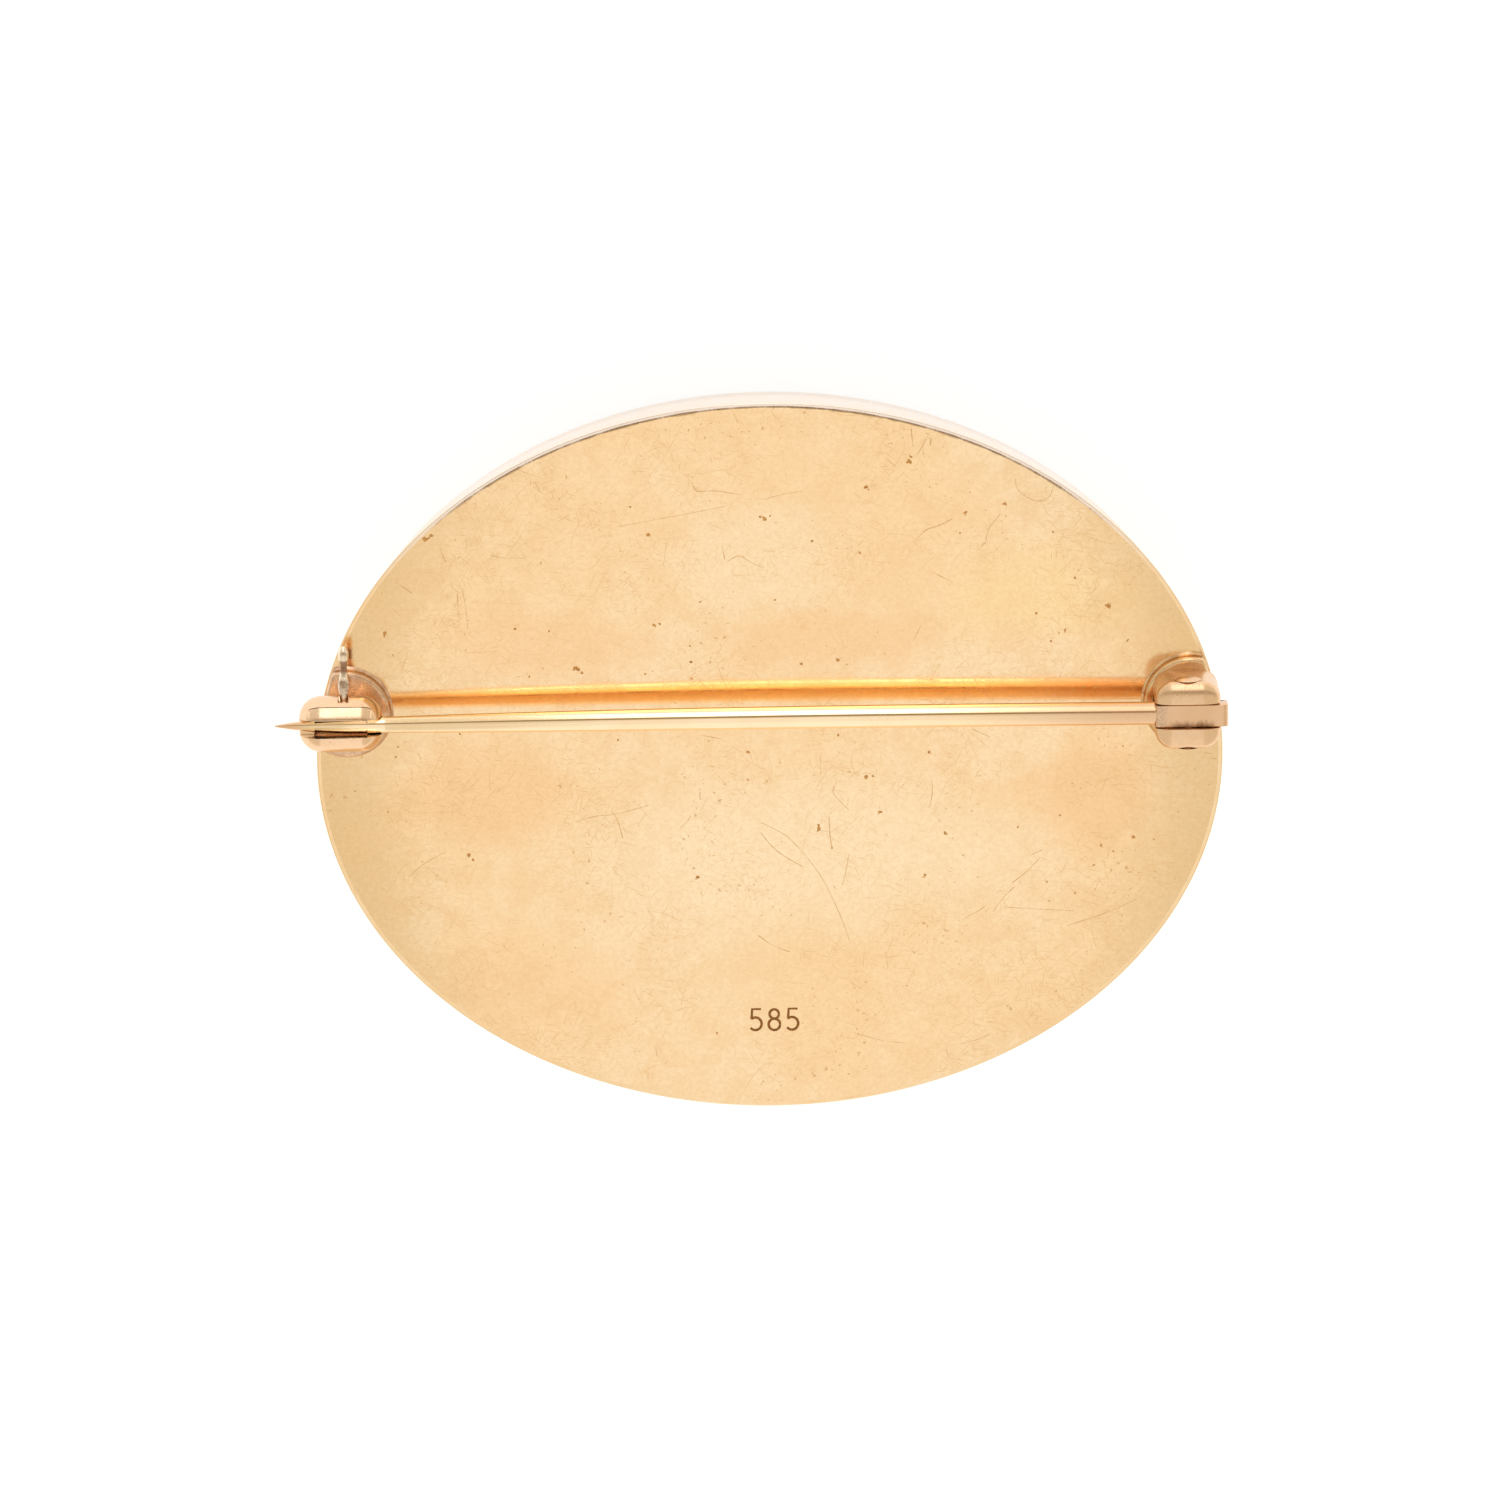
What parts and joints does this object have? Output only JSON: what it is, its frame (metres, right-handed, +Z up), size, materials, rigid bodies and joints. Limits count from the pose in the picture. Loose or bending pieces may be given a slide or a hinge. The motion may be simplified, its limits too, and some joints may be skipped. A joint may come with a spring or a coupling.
{
  "type": "essex crystal brooch",
  "caption": "Oval gold brooch lying face down: a reverse-carved crystal in a leaning bezel, and across its back a hinged pin held in a roller catch.",
  "frame": {"origin": "under the middle of the whole brooch, pin and tail included, level with the crown of the crystal that it lies on", "axes": "+X along the oval from the catch to the hinge, +Y across it to the side where the pin lies, +Z up through the back plate and the pin"},
  "size_m": [0.0472, 0.0362, 0.0139],
  "materials": {
    "yellow_gold": "polished, with fine wear from handling",
    "pin_gold": "bright polish",
    "rock_crystal": "clear and polished, domed in front",
    "flower_paint": "opaque paint in the carving",
    "mother_of_pearl": "soft iridescent sheen"
  },
  "bodies": {
    "brooch": {"setting": "yellow_gold", "crystal": "rock_crystal", "painted_flower": "flower_paint", "pearl_backing": "mother_of_pearl", "hinge_rivet": "yellow_gold"},
    "pin": {"pin_stem": "pin_gold"},
    "roller": {"catch_roller": "pin_gold"}
  },
  "joints": [
    {"name": "pin_swing", "type": "hinge", "parent": "brooch", "child": "pin", "pos_m": [0.02165, 0.00272, 0.01295], "axis": [0, 1, 0], "range_deg": [0, 65]},
    {"name": "catch_lever", "type": "hinge", "parent": "brooch", "child": "roller", "pos_m": [-0.02038, 0.00272, 0.0126], "axis": [1, 0, 0], "range_deg": [0, 36]}
  ]
}
